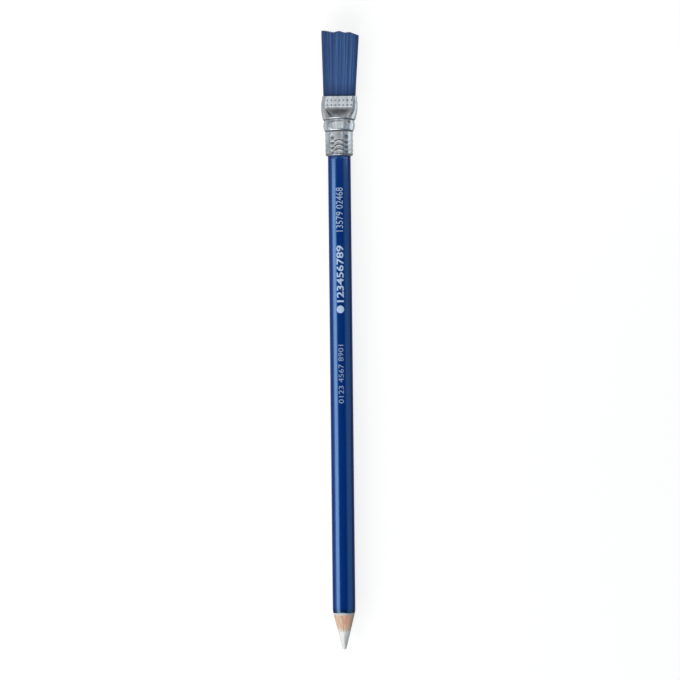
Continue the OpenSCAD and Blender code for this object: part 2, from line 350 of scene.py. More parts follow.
def primer_material():
    """Chalky undercoat with a fine grain."""
    material, tree, shader = new_material("pale_primer")
    grain = noise_at(tree, object_coordinates(tree, (5000, 5000, 5000)), detail=3)
    color = ramp(tree, grain, (0.3, (0.52, 0.48, 0.48)), (0.7, (0.64, 0.60, 0.60)))
    tree.links.new(color, shader.inputs["Base Color"])
    set_inputs(shader, {"Roughness": 0.6})
    bump(tree, shader, grain, 0.02 * MM)
    return material


def wood_material(name, light, dark, vein):
    """Straight grain along the pencil, with darker pores. A vein of another tint runs near the face.

    The wood is pale where it thins out over the rubber.
    """
    material, tree, shader = new_material(name)
    lines = noise_at(tree, object_coordinates(tree, (1900, 130, 1900)), detail=6, distortion=0.4)
    base = ramp(tree, lines, (0.38, dark), (0.6, light))
    pores = noise_at(tree, object_coordinates(tree, (9000, 900, 9000)), detail=3, roughness=0.7)
    shade = ramp(tree, pores, (0.32, gray(0.66)), (0.5, gray(1)))
    tinted = multiplied(tree, base, ramp(tree, stored(tree, "in_vein"), (0.1, gray(1)), (0.9, vein)))
    faded = add_node(tree, "ShaderNodeMix", data_type="RGBA")
    tree.links.new(spread(tree, stored(tree, "thin"), 0, 0.85), faded.inputs["Factor"])
    tree.links.new(multiplied(tree, tinted, shade, 0.7), faded.inputs[MIX_A])
    faded.inputs[MIX_B].default_value = (0.72, 0.67, 0.62, 1)
    tree.links.new(faded.outputs[MIX_RESULT], shader.inputs["Base Color"])
    tree.links.new(spread(tree, lines, 0.55, 0.75), shader.inputs["Roughness"])
    set_inputs(shader, {"Specular IOR Level": 0.3})
    bump(tree, shader, pores, 0.05 * MM)
    return material


def eraser_material():
    """Pale rubber with faint smudges, which lets a little light in."""
    material, tree, shader = new_material("pale_eraser_rubber")
    cloud = noise_at(tree, object_coordinates(tree, (900, 500, 900)), detail=5)
    base = ramp(tree, cloud, (0.3, (0.72, 0.72, 0.705)), (0.7, (0.80, 0.80, 0.79)))
    speck = noise_at(tree, object_coordinates(tree, (6500, 3800, 6500)), detail=3, roughness=0.65)
    smudge = ramp(tree, speck, (0.3, gray(0.8)), (0.46, gray(1)))
    tree.links.new(multiplied(tree, base, smudge, 0.5), shader.inputs["Base Color"])
    set_inputs(shader, {
        "Roughness": 0.58,
        "Specular IOR Level": 0.35,
        "Subsurface Weight": 0.12,
        "Subsurface Radius": (0.6 * MM, 0.6 * MM, 0.55 * MM),
        "Subsurface Scale": 1.0,
    })
    bump(tree, shader, speck, 0.04 * MM, 0.8)
    return material


def metal_material():
    """Bright rolled sheet with draw lines along the pencil. Painted shade darkens its rings, dents, dots,
    waists, turned-in lip and the left column of jaws, which are also rougher.
    """
    material, tree, shader = new_material("crimped_ferrule_metal")
    draw = noise_at(tree, object_coordinates(tree, (3800, 240, 3800)), detail=4, roughness=0.6)
    cloud = noise_at(tree, object_coordinates(tree, (420, 420, 420)), detail=4)
    tint = ramp(tree, cloud, (0.3, (0.58, 0.635, 0.68)), (0.7, (0.68, 0.735, 0.79)))
    shade = ramp(tree, draw, (0.3, gray(0.86)), (0.65, gray(1)))
    streaks = noise_at(tree, object_coordinates(tree, (1000, 90, 1000)), detail=3, roughness=0.6)
    dull = ramp(tree, streaks, (0.36, gray(0.68)), (0.58, gray(1)))
    roughness_and_painted_shade = stored(tree, "roughness_and_painted_shade")
    # Painted shade: the metal is darkened in its rings, dents, dots and waists and on its lip, where
    # shade would fall
    painted_crease_shade = ramp(tree, roughness_and_painted_shade, (0.05, gray(1)), (0.6, gray(0.42)), (1, gray(0.28)))
    color = multiplied(tree, multiplied(tree, multiplied(tree, tint, shade, 0.8), dull, 0.9), painted_crease_shade)
    tree.links.new(color, shader.inputs["Base Color"])
    set_inputs(shader, {"Metallic": 1.0})
    rough = add_node(tree, "ShaderNodeMath", operation="MULTIPLY_ADD")
    tree.links.new(roughness_and_painted_shade, rough.inputs[0])
    rough.inputs[1].default_value = 0.4
    tree.links.new(spread(tree, draw, 0.17, 0.25), rough.inputs[2])
    tree.links.new(rough.outputs[0], shader.inputs["Roughness"])
    bump(tree, shader, draw, 0.01 * MM, 0.5)
    return material


def bristle_material():
    """Blue nylon. Each strand carries its own tone, with painted shade at its root and on the outermost
    strands.
    """
    material, tree, shader = new_material("blue_nylon_bristle")
    color = ramp(tree, stored(tree, "strand_tone_and_painted_shade"), (0.0, (0.012, 0.028, 0.1)),
                 (0.5, (0.054, 0.134, 0.355)), (1.0, (0.107, 0.26, 0.55)))
    tree.links.new(color, shader.inputs["Base Color"])
    set_inputs(shader, {"Roughness": 0.42, "Specular IOR Level": 0.35})
    return material


def foil_material(name, bright):
    """Bluish silver foil, rubbed thin in specks and duller where it is more worn."""
    material, tree, shader = new_material(name)
    wear = noise_at(tree, object_coordinates(tree, (3500, 3500, 3500)), detail=4, roughness=0.6)
    rubbed = [bright * level for level in (0.33, 0.46, 0.64)]
    whole = [min(0.97, bright * level) for level in (0.54, 0.72, 1.0)]
    color = ramp(tree, wear, (0.32, rubbed), (0.5, whole))
    tree.links.new(color, shader.inputs["Base Color"])
    set_inputs(shader, {"Metallic": 0.05, "Roughness": 0.38})
    return material


def hardened_material(name, light, dark):
    """Cement, resin or glue that set where it was squeezed."""
    material, tree, shader = new_material(name)
    cloud = noise_at(tree, object_coordinates(tree, (1800, 1800, 1800)), detail=4)
    tree.links.new(ramp(tree, cloud, (0.3, dark), (0.7, light)), shader.inputs["Base Color"])
    set_inputs(shader, {"Roughness": 0.4})
    bump(tree, shader, cloud, 0.03 * MM)
    return material


# Barrel and point

BARREL_SIDES = 144
CONE_SIDES = 192
CORE_SIDES = 96
# Waves round the pencil, in a noise field's own units
WAVE_RATE = 2.1
# How far the lacquer draws in over its rim, and the height above the rim at which it does
LACQUER_EDGE = [
    (0.035 * MM, 0.05 * MM),
    (0.018 * MM, 0.35 * MM),
    (0.004 * MM, 0.8 * MM),
    (0, 1.3 * MM),
    (0, 4 * MM),
]
# Rounding of the coat's other end, inside the sleeve's lip
COAT_ROUND = 0.05 * MM
COAT_ROUND_W = 0.04 * MM
# The cut edge: its unevenness, how far up the coat this reaches, and how far up the painted shade near
# the cut reaches
CUT_WAVER = 0.12 * MM
CUT_REACH = 1 * MM
RIM_SHADE_REACH = 1.1 * MM
# The sharpener's turns on the cone, and the ridges between them
CONE_TURNS = 26
RIDGE_T = 0.014 * MM
# The thin edge of the wood over the rubber: its dip on the face, its waver and its torn fibres
EDGE_DIP = 0.45 * MM
EDGE_WAVER = 0.16 * MM
FIBRE_WAVER = 0.07 * MM
BORE_LIFT = 0.03 * MM
THIN_REACH = 1.2 * MM
# The vein: its right edge and how softly it ends there, its depth in the wood and how softly it starts
VEIN_SIDE = 1.8 * MM
VEIN_SIDE_SOFT = 0.9 * MM
VEIN_DEPTH = 2.2 * MM
VEIN_DEPTH_SOFT = 0.6 * MM
# Two rubbed flats on the rubber's face: half the angle of each and the angle over which it runs out,
# in degrees, its share of a full flat, and the stretch that ends it just below the wood
FLAT_HALF_TURN = 38
FLAT_END_TURN = 14
FLAT_SHARE = 0.62
FLAT_STRETCH = 1.02
# Wear of the whole point: its depth, and its unevenness, which grows towards the tip
RUB_DEPTH = 0.012 * MM
RUB_WAVER = 0.03 * MM
RUB_RATE = 900


def wavy(angle, amount, seed):
    """A small uneven shift round the pencil, the same at the end of a turn as at its start."""
    place = Vector((math.cos(angle), math.sin(angle), seed)) * WAVE_RATE
    return amount * noise.noise(place)


def make_lacquer(material):
    """The coat draws in a little at its cut edge, which the sharpener left slightly uneven."""
    cut = cone_height(PRIMER_R)
    rim = cone_height(BARREL_R)
    profile = [
        (PRIMER_R, cut),
        (mix(PRIMER_R, BARREL_R, 0.35), mix(cut, rim, 0.3)),
        (mix(PRIMER_R, BARREL_R, 0.62), mix(cut, rim, 0.62)),
        *[(BARREL_R - inset, rim + lift) for inset, lift in LACQUER_EDGE],
        (BARREL_R, SLEEVE_BASE - 1 * MM),
        (BARREL_R, SLEEVE_BASE - COAT_ROUND),
        (BARREL_R - COAT_ROUND_W, SLEEVE_BASE),
        (PRIMER_R, SLEEVE_BASE),
    ]
    piece = turned("lacquered_barrel", profile, BARREL_SIDES)
    edge = rim + CUT_REACH

    def uneven(point):
        if point.z < edge and point.xy.length > PRIMER_R + 0.01 * MM:
            point.z += wavy(math.atan2(point.y, point.x), CUT_WAVER, 3) * (edge - point.z) / (edge - cut)
        return point

    moved_points(piece, uneven)
    # Strength of the painted shade near the cut, fading up the coat
    mark_points(piece, "near_cut", lambda point: 1 - (point.z - rim) / RIM_SHADE_REACH)
    smooth(piece, 40)
    finished(piece, material, "lacquer", "lacquer_coat")


def make_primer(material):
    """The undercoat, cut to a slightly rounded bevel by the sharpener."""
    low, high = cone_height(WOOD_R), cone_height(PRIMER_R)
    profile = [
        (WOOD_R, low),
        (mix(WOOD_R, PRIMER_R, 0.5), mix(low, high, 0.46)),
        (PRIMER_R, high),
        (PRIMER_R, SLEEVE_BASE),
        (WOOD_R, SLEEVE_BASE),
    ]
    piece = turned("primer_ring", profile, BARREL_SIDES)
    smooth(piece, 40)
    finished(piece, material, "primer", "primer_coat")


def make_slats(materials):
    """The two glued halves. The sharpener left faint turns and torn fibres on the cone."""
    low, high = cone_height(CORE_R), cone_height(WOOD_R)
    bore_edge = low + BORE_LIFT
    cone = []
    for i in range(CONE_TURNS + 1):
        height = mix(low, high, i / CONE_TURNS)
        ridge = -RIDGE_T * (i % 2) if 0 < i < CONE_TURNS else 0
        cone.append((mix(CORE_R, WOOD_R, i / CONE_TURNS) + ridge, height))
    profile = cone + [
        (WOOD_R, SLEEVE_BASE),
        (WOOD_R - TENON_CUT, SLEEVE_BASE),
        (WOOD_R - TENON_CUT, BARREL_LEN),
        (CORE_R, BARREL_LEN),
        (CORE_R, bore_edge),
    ]

    def dip_at(angle):
        """How far up the thin edge lies at an angle. It reaches farthest down on the face."""
        return EDGE_DIP * math.sin(angle) + wavy(angle, EDGE_WAVER, 8) + wavy(angle * 5, FIBRE_WAVER, 2)

    def torn(point):
        """Slides a point of the cone along its slope, the more the nearer it is to the thin edge."""
        share = 1 - (point.z - low) / (high - low)
        if 0 < share <= 1.001 and abs(point.z - bore_edge) > 0.005 * MM:
            dip = dip_at(math.atan2(point.y, point.x))
            point.z += dip * share ** 3
            slope = (high - low) / (WOOD_R - CORE_R)
            point.xy *= 1 + dip * share ** 3 / slope / point.xy.length
        return point

    def thin(point):
        """How thin the wood is over the rubber, from 0 up the cone to 1 at its torn edge."""
        return 1 - (point.z - low - dip_at(math.atan2(point.y, point.x))) / THIN_REACH

    def in_vein(point):
        """A vein beside the joint that lies only in the outer wood, near the face."""
        aside = min(1, max(0, (VEIN_SIDE - point.x) / VEIN_SIDE_SOFT))
        return aside * min(1, (-point.y - VEIN_DEPTH) / VEIN_DEPTH_SOFT)

    joint = Vector((math.cos(JOINT_TURN), math.sin(JOINT_TURN), 0))
    for side, name, node in ((-1, "casing_left", "slat_left"), (1, "casing_right", "slat_right")):
        piece = turned(name, profile, CONE_SIDES)
        moved_points(piece, torn)
        only(piece)
        bpy.ops.object.mode_set(mode="EDIT")
        bpy.ops.mesh.select_all(action="SELECT")
        bpy.ops.mesh.bisect(plane_co=joint * side * GLUE_T / 2, plane_no=joint, use_fill=True,
                            clear_inner=side > 0, clear_outer=side < 0)
        turn_outward()
        bpy.ops.object.mode_set(mode="OBJECT")
        mark_points(piece, "thin", thin)
        mark_points(piece, "in_vein", in_vein)
        smooth(piece, 35)
        finished(piece, materials[side > 0], "wood", node)


def make_core(material):
    """The rubber core, rounded and a little worn flat at its tip."""
    tip_steps, cone_steps = 9, 30
    arc = [math.pi / 2 * i / tip_steps for i in range(tip_steps + 1)]
    stop = math.pi / 2 - HALF_ANGLE
    tip = [(TIP_R * math.sin(a), TIP_R * (1 - math.cos(a))) for a in arc if a < stop]
    tip[0] = (0.02 * MM, 0)
    edge_r = TIP_R * math.cos(HALF_ANGLE)
    radii = [mix(edge_r, CORE_R, i / cone_steps) for i in range(cone_steps + 1)]
    profile = tip + [(radius, cone_height(radius)) for radius in radii] + [(CORE_R, BARREL_LEN)]
    piece = turned("eraser_rod", profile, CORE_SIDES, closed=False)
    close_ends(piece)
    worn = cone_height(CORE_R)

    def rubbed(point):
        """Wears the cone, with two rubbed flats that meet in a soft ridge along the face."""
        radius = point.xy.length
        if point.z < worn and radius > 0:
            dent = RUB_WAVER * (1 - point.z / worn) * noise.noise(point * RUB_RATE) - RUB_DEPTH
            aside = math.degrees(abs(math.atan2(point.x, -point.y)))
            if aside < 2 * FLAT_HALF_TURN:
                half = math.radians(FLAT_HALF_TURN)
                chord = math.cos(half) / math.cos(math.radians(aside - FLAT_HALF_TURN))
                hollow = math.sin(math.pi * min(1, point.z / worn * FLAT_STRETCH))
                flat = (chord - 1) * radius * FLAT_SHARE * hollow
                dent += flat * min(1, (2 * FLAT_HALF_TURN - aside) / FLAT_END_TURN)
            point.xy *= 1 + min(0, dent) / radius
        return point

    moved_points(piece, rubbed)
    smooth(piece, 50)
    finished(piece, material, "eraser", "eraser_core")


# Ferrule

LIP_GAP = 0.05 * MM
LIP_R = SLEEVE_R - BARREL_R - LIP_GAP
WAIST_DEPTH = 0.25 * MM
LOW_WAIST = SLEEVE_TOP + 0.06 * MM
LIP_STEP = 0.42 * MM
LIP_RISE = 0.4 * MM
LIP_BOW = 0.4 * MM
WAIST_W = SLEEVE_R - 0.07 * MM
COLLAR_W = SLEEVE_R + 0.62 * MM
COLLAR_H = SLEEVE_R - 0.13 * MM
HEAD_W = 6 * MM
MOUTH_W = 5.7 * MM
MOUTH_H = 2.05 * MM
FLAT_START = COLLAR_TOP + 0.55 * (MOUTH_TOP - COLLAR_TOP)
FLAT_EDGE = MOUTH_TOP - 0.3 * (MOUTH_TOP - COLLAR_TOP)
# Each station: height, half width, half height, flatness, bow. Flatness 0 is round and 1 is flattened.
STATIONS = [
    (SLEEVE_BASE, SLEEVE_R, SLEEVE_R, 0, 0),
    (SLEEVE_TOP - 0.12 * MM, SLEEVE_R, SLEEVE_R, 0, 0),
    (LOW_WAIST, WAIST_W, SLEEVE_R - WAIST_DEPTH, 0, 0.2 * MM),
    (SLEEVE_TOP + 0.05 * MM + LIP_RISE, WAIST_W + LIP_STEP, SLEEVE_R - 0.03 * MM, 0, 0.25 * MM),
    (SLEEVE_TOP + 0.6 * (COLLAR_TOP - SLEEVE_TOP), COLLAR_W, COLLAR_H, 0, 0.4 * MM),
    (COLLAR_TOP, COLLAR_W - 0.2 * MM, COLLAR_H - WAIST_DEPTH, 0.05, LIP_BOW),
    (COLLAR_TOP + LIP_RISE, COLLAR_W - 0.2 * MM + LIP_STEP, COLLAR_H, 0.1, LIP_BOW),
    (FLAT_START, HEAD_W, MOUTH_H + 0.15 * MM, 1, 0),
    (FLAT_EDGE, HEAD_W, MOUTH_H, 1, 0),
    (MOUTH_TOP, MOUTH_W, MOUTH_H, 1, 0),
]
FERRULE_SIDES = 288
FERRULE_PITCH = 0.1 * MM
INSIDE_STEPS = 30
OUTLINE_STEPS = 1440
# How fast the flattened outline's points go over from one end to the other
SIDE_STEEPNESS = 40
# Where the inside starts below the mouth, and where it ends above the turned-in lip
INSIDE_DROP = 0.02 * MM
INSIDE_LIFT = 0.3 * MM
# Slope at which the shoulder under the flattened head starts
SHOULDER_START = 0.75
# Rounding of the mouth's edge: its height and its width
MOUTH_ROUND = 0.12 * MM
MOUTH_ROUND_W = 0.1 * MM
# Waists under the two rolled lips, and the half width of the groove of painted shade in each
WAISTS = [LOW_WAIST, COLLAR_TOP + 0.03 * MM]
WAIST_HALF_W = 0.22 * MM
# Small knocks all over the metal, shallower at the turned-in lip
KNOCK_DEPTH = 0.018 * MM
KNOCK_RATE = 500
LIP_KNOCK_SHARE = 0.3

# Rolled rings in the sleeve. Six jaws press them, so they rise between the jaws' dents.
JAWS = 6
RING_HEIGHTS = [SLEEVE_BASE + lift * MM for lift in (2.05, 3.55, 5.05)]
RING_HALF_W = 0.17 * MM
RING_DEPTH = 0.055 * MM
RING_WAVE = 0.33 * MM
# Each row of dents: height, half height, depth
DENT_ROWS = [
    (SLEEVE_BASE + 6.2 * MM, 0.8 * MM, 0.15 * MM),
    (SLEEVE_BASE + 4.3 * MM, 0.5 * MM, 0.13 * MM),
    (SLEEVE_BASE + 2.7 * MM, 0.45 * MM, 0.13 * MM),
    (SLEEVE_BASE + 1.1 * MM, 0.45 * MM, 0.12 * MM),
]
DENT_HALF_W = 0.95 * MM
DENTS_TOP = DENT_ROWS[0][0] + DENT_ROWS[0][1]
# Two rows of punched dots on each face of the head
DOT_R = 0.3 * MM
DOT_DEPTH = 0.11 * MM
DOT_PITCH = 1.32 * MM
DOT_ROWS = [(MOUTH_TOP - 1.6 * MM, 7), (MOUTH_TOP - 3.04 * MM, 7)]
# How much painted shade each mark puts on the metal. The left column of jaws gets painted shade between
# its dents too.
RING_PAINTED_SHADE = 0.2
DENT_PAINTED_SHADE = 0.6
JAW_PAINTED_SHADE = 0.34
LIP_PAINTED_SHADE = 0.55
DOT_PAINTED_SHADE = 0.24


def shoulder(t):
    """Share of the shoulder's fall: it starts at a slope, steepens, and ends level at the head."""
    start = SHOULDER_START
    return start * t + (4 - 3 * start) * t ** 3 + (2 * start - 3) * t ** 4


def station_at(height):
    """Section of the ferrule at a height, eased between its stations. The width changes soonest."""
    for low, high in zip(STATIONS, STATIONS[1:]):
        if height <= high[0]:
            break
    t = min(1, max(0, (height - low[0]) / (high[0] - low[0])))
    width = mix(low[1], high[1], math.sin(math.pi / 2 * t))
    share = shoulder(t) if high[0] == FLAT_START else ease(t)
    return [width] + [mix(low[c], high[c], share) for c in (2, 3, 4)]


def even_points(x, y, count):
    """Points at even steps along an outline."""
    run = np.concatenate(([0], np.cumsum(np.hypot(np.diff(x), np.diff(y)))))
    even = np.linspace(0, run[-1], count, endpoint=False)
    return np.stack([np.interp(even, run, x), np.interp(even, run, y)], axis=1)


def section(height, inset=0):
    """The ferrule's outline at a height, between an ellipse and a tube pressed flat."""
    width, depth, flatness, bow = station_at(height)
    width, depth = width - inset, depth - inset
    angle = np.linspace(0, 2 * np.pi, OUTLINE_STEPS + 1)
    c, s = np.cos(angle), np.sin(angle)
    outline = even_points(width * c, depth * s, FERRULE_SIDES)
    if flatness:
        # Two half circles, drawn apart by straight sides
        reach = max(0, width - depth)
        side = np.clip(c * SIDE_STEEPNESS, -1, 1)
        flat = even_points(depth * c + reach * side, depth * s, FERRULE_SIDES)
        outline = outline * (1 - flatness) + flat * flatness
    rise = bow * (outline[:, 1] / depth) ** 2
    return np.column_stack([outline, rise])


def crimp_at(x, y, height):
    """How far the rings and the jaws' dents press the sleeve in, and how much painted shade they put on
    it.
    """
    angle = math.atan2(x, -y)
    wave = RING_WAVE * (math.cos(JAWS * angle) - 1)
    depth = mark = 0
    for ring in RING_HEIGHTS:
        off = (height - ring - wave) / RING_HALF_W
        depth += RING_DEPTH * math.exp(-off * off)
        mark += RING_PAINTED_SHADE * math.exp(-off * off)
    jaw = 2 * math.pi / JAWS
    aside = abs((angle % jaw) - jaw / 2) * SLEEVE_R / DENT_HALF_W
    for row, half_height, press in DENT_ROWS:
        off = math.hypot(aside, (height - row) / half_height)
        if off < 1:
            depth += press * (1 - off * off) ** 1.5
            mark += DENT_PAINTED_SHADE * (1 - off * off) ** 0.6
    # Painted shade over the left column of jaws, between the dents as well
    if aside < 1 and x < 0 and height < DENTS_TOP:
        mark = max(mark, JAW_PAINTED_SHADE * (1 - aside * aside) ** 0.6)
    return depth, mark


def dot_at(x, height):
    """How far a punched dot presses a flat face in."""
    depth = 0
    for row, count in DOT_ROWS:
        if abs(height - row) > DOT_R:
            continue
        for i in range(count):
            centre = (i - (count - 1) / 2) * DOT_PITCH
            off = math.hypot(x - centre, height - row) / DOT_R
            if off < 1:
                depth = max(depth, DOT_DEPTH * (1 - off * off) ** 1.5)
    return depth


def pressed(ring, height, outer):
    """The die's marks on one ring of points, and how much painted shade each point gets, from 0 to 1.

    They are the turned-in lip, rings, dents, waists, dots and small knocks.
    """
    lift = height - SLEEVE_BASE
    shaped, painted_shades = [], []
    waist = sum(math.exp(-((height - w) / WAIST_HALF_W) ** 2) for w in WAISTS)
    for x, y, rise in ring:
        radius = math.hypot(x, y)
        press = mark = dot = 0
        if lift < LIP_R:
            press += LIP_R - math.sqrt(max(0, LIP_R ** 2 - (LIP_R - lift) ** 2))
        if outer:
            if height < SLEEVE_TOP:
                crimp, mark = crimp_at(x, y, height)
                press += crimp
            # Painted shade on the turned-in lip, which damps its glint
            if lift < LIP_R:
                mark = max(mark, LIP_PAINTED_SHADE)
            knock = noise.noise(Vector((x, y, height)) * KNOCK_RATE)
            press += KNOCK_DEPTH * knock * (LIP_KNOCK_SHARE if lift < LIP_R else 1)
        share = 1 - press / radius
        x, y = x * share, y * share
        if outer and height > FLAT_START - MM:
            dot = dot_at(x, height)
            y -= math.copysign(dot, y)
        shaped.append((x + lean_at(height), y, height + rise))
        # Painted shade in the dots and in the waists' grooves, added to that of the other marks
        painted_shades.append(min(1, mark + DOT_PAINTED_SHADE * dot / DOT_DEPTH + waist))
    return shaped, painted_shades


def nearest(levels, height):
    """Place in a list of levels of the one nearest to a height."""
    return min(range(len(levels)), key=lambda i: abs(levels[i] - height))


def step_round(point):
    """Place of a point in a ring of FERRULE_SIDES points round the pencil."""
    return round(math.atan2(point.y, point.x) / (2 * math.pi) * FERRULE_SIDES) % FERRULE_SIDES


def make_ferrule(material):
    """A drawn tube, first plain and then pressed over its stations by the die."""
    count = round((MOUTH_TOP - SLEEVE_BASE) / FERRULE_PITCH)
    outside = [mix(SLEEVE_BASE, MOUTH_TOP, i / count) for i in range(count + 1)]
    between = [mix(MOUTH_TOP, SLEEVE_BASE, i / INSIDE_STEPS) for i in range(1, INSIDE_STEPS)]
    inside = [MOUTH_TOP - INSIDE_DROP, *between, SLEEVE_BASE + INSIDE_LIFT]
    plain = [(SLEEVE_R, h) for h in outside] + [(SLEEVE_R - WALL_T, h) for h in inside]
    piece = turned("crimped_ferrule", plain, FERRULE_SIDES)
    outer_rings = []
    for height in outside:
        soft = min(1, (MOUTH_TOP - height) / MOUTH_ROUND)
        inset = (1 - math.sqrt(1 - (1 - soft) ** 2)) * MOUTH_ROUND_W
        outer_rings.append(pressed(section(height, inset), height, True))
    inner_rings = [pressed(section(height, WALL_T), height, False) for height in inside]
    marks = []

    def die(point):
        outer = point.xy.length > SLEEVE_R - WALL_T / 2
        levels, rings = (outside, outer_rings) if outer else (inside, inner_rings)
        points, painted_shades = rings[nearest(levels, point.z)]
        step = step_round(point)
        marks.append(painted_shades[step])
        return Vector(points[step])

    moved_points(piece, die)
    # The painted shade is stored for the metal, which is also rougher where it is high
    store(piece.data, "roughness_and_painted_shade", marks)
    smooth(piece, 60)
    finished(piece, material, "ferrule_metal", "ferrule")


# Resin: gaps to the barrel's end and to the wall, the slice of it at the bristles' roots, and the
# small ring in the middle of each end
END_GAP = 0.4 * MM
RESIN_GAP = 0.02 * MM
SLICE_T = 0.8 * MM
RESIN_HUB_R = 0.3 * MM
RESIN_STEPS = 12


def make_resin(material):
    """The resin that holds the bristles' roots, set to the ferrule's inside."""
    low, high = BARREL_LEN + END_GAP, MOUTH_TOP - ROOT_DEPTH - SLICE_T
    levels = [mix(low, high, i / RESIN_STEPS) for i in range(RESIN_STEPS + 1)]
    fill_r = SLEEVE_R - WALL_T
    plug = [(RESIN_HUB_R, low)] + [(fill_r, h) for h in levels] + [(RESIN_HUB_R, high)]
    piece = turned("root_resin_plug", plug, FERRULE_SIDES, closed=False)
    rings = [section(h, WALL_T + RESIN_GAP) for h in levels]

    def filled(point):
        lean = lean_at(point.z)
        if point.xy.length < 2 * RESIN_HUB_R:
            return point + Vector((lean, 0, 0))
        x, y = rings[nearest(levels, point.z)][step_round(point)][:2]
        return Vector((x + lean, y, point.z))

    moved_points(piece, filled)
    close_ends(piece)
    smooth(piece, 40)
    finished(piece, material, "resin", "root_resin")


# Brush

TUFT_GAP = 0.07 * MM
TUFT_W = MOUTH_W - WALL_T - TUFT_GAP
TUFT_H = MOUTH_H - WALL_T - TUFT_GAP
# Share of its round ends that the tuft's outline follows
ROUND_END = 0.93
SPREAD_W = 0.95 * MM
SPREAD_H = 0.3 * MM
# The trimmed tips: their whole fall, the share of it at the right corner, their waves and spread
TRIM_FALL = 1.6 * MM
TRIM_CORNER = 0.7
TRIM_WAVE = 0.45 * MM
WAVES_TURN = math.radians(1016)
WAVES_CROWDING = 1.36
TRIM_SPREAD = 0.4 * MM
STRAND_R = 0.085 * MM
STRAND_R_STRAY = 0.1
STRAND_SIDES = 5
STRAND_COLUMNS = 74
STRAND_ROWS = 23
STRAND_STEPS = 7
# The broken edge of a strand's cut end: where it starts up the strand, and its share of the radius
CUT_START = 0.985
CUT_SHARE = 0.6
# Clumps and streaks across the half width, in a noise field's own units
STREAK_RATE = 9
# How far strands stray: roots in shares of a cell, tips in shares of the half width or height
ROOT_STRAY = 0.32
CLUMP_STRAY = 0.05
TIP_STRAY_W = 0.012
TIP_STRAY_H = 0.05
BEND_W = 0.07 * MM
BEND_H = 0.05 * MM
# Tones: middle, broad streaks, single strands; then the painted shade at the roots and how far up it
# reaches
SHADE_MIDDLE = 0.5
SHADE_STREAKS = 0.32
SHADE_STRANDS = 0.1
ROOT_PAINTED_SHADE = 0.3
ROOT_PAINTED_SHADE_REACH = 0.16
# How much painted shade darkens the outermost strands, left and right
LEFT_EDGE_PAINTED_SHADE = 0.5
RIGHT_EDGE_PAINTED_SHADE = 0.3


def make_strand():
    """One bristle of unit length and unit radius, cut square with a broken edge."""
    profile = [(1, i / (STRAND_STEPS - 1) * CUT_START) for i in range(STRAND_STEPS)] + [(CUT_SHARE, 1.0)]
    strand = turned("strand", profile, STRAND_SIDES, closed=False)
    close_ends(strand)
    return strand


def tuft_point(u, v, half_w, half_h):
    """A place in the brush's round-ended outline, for u and v from -1 to 1."""
    edge = half_w - half_h * (1 - math.sqrt(1 - (ROUND_END * v) ** 2))
    return edge * u, half_h * v


def trimmed(u, chance):
    """Height at which a bristle was trimmed: the tips fall slowly, and fast at the right corner.

    Their waves follow closer on each other from left to right.
    """
    t = (u + 1) / 2
    fall = TRIM_FALL * mix(t, t ** 6, TRIM_CORNER)
    wave = TRIM_WAVE * (1 - t ** 4) * (1 - math.cos(WAVES_TURN * t ** WAVES_CROWDING)) / 2
    return TIPS_TOP - fall - wave - TRIM_SPREAD * chance


def planted(unit, u, v, chance):
    """A strand's points, and its tones with painted shade at the root and edges. Its root is at u and v
    in the mouth's outline.
    """
    margin_w, margin_h = 1 - STRAND_R / TUFT_W, 1 - STRAND_R / TUFT_H
    mouth_x, mouth_y = tuft_point(u * margin_w, v * margin_h, TUFT_W, TUFT_H)
    clump = CLUMP_STRAY * noise.noise(Vector((u * STREAK_RATE, v * 2, 4.7)))
    tip_u = max(-1, min(1, u + clump + chance.gauss(0, TIP_STRAY_W)))
    tip_v = max(-1, min(1, v + chance.gauss(0, TIP_STRAY_H)))
    tip_x, tip_y = tuft_point(tip_u * margin_w, tip_v * margin_h, TUFT_W + SPREAD_W, TUFT_H + SPREAD_H)
    top = trimmed(tip_u, chance.random())
    bend_x = chance.gauss(0, BEND_W) * (1 - abs(tip_u))
    bend_y = chance.gauss(0, BEND_H) * (1 - abs(tip_v))
    turn = chance.uniform(0, 2 * math.pi)
    radius = STRAND_R * chance.uniform(1 - STRAND_R_STRAY, 1 + STRAND_R_STRAY)
    height = mix(MOUTH_TOP - ROOT_DEPTH, top, unit[:, 2])
    share = (height - MOUTH_TOP) / BRISTLE_LEN
    bow = np.sin(np.pi * np.clip(share, 0, 1))
    cos, sin = math.cos(turn), math.sin(turn)
    ring_x = radius * (unit[:, 0] * cos - unit[:, 1] * sin)
    ring_y = radius * (unit[:, 0] * sin + unit[:, 1] * cos)
    lean = math.tan(HEAD_LEAN) * (height - SLEEVE_TOP)
    x = mix(mouth_x, tip_x, share) + bend_x * bow + ring_x + lean
    y = mix(mouth_y, tip_y, share) + bend_y * bow + ring_y
    streak = SHADE_STREAKS * noise.noise(Vector((u * STREAK_RATE, v * 1.5, 1.3)))
    own = SHADE_MIDDLE + streak + chance.gauss(0, SHADE_STRANDS)
    # Painted shade on the outermost strands
    edge = 1 - (LEFT_EDGE_PAINTED_SHADE if u < 0 else RIGHT_EDGE_PAINTED_SHADE) * abs(u) ** 10
    # Painted shade, darkest at the root and fading up the strand
    rise = ROOT_PAINTED_SHADE + (1 - ROOT_PAINTED_SHADE) * np.clip(share / ROOT_PAINTED_SHADE_REACH, 0, 1)
    return zip(x.tolist(), y.tolist(), height.tolist()), np.clip(own * edge * rise, 0, 1).tolist()


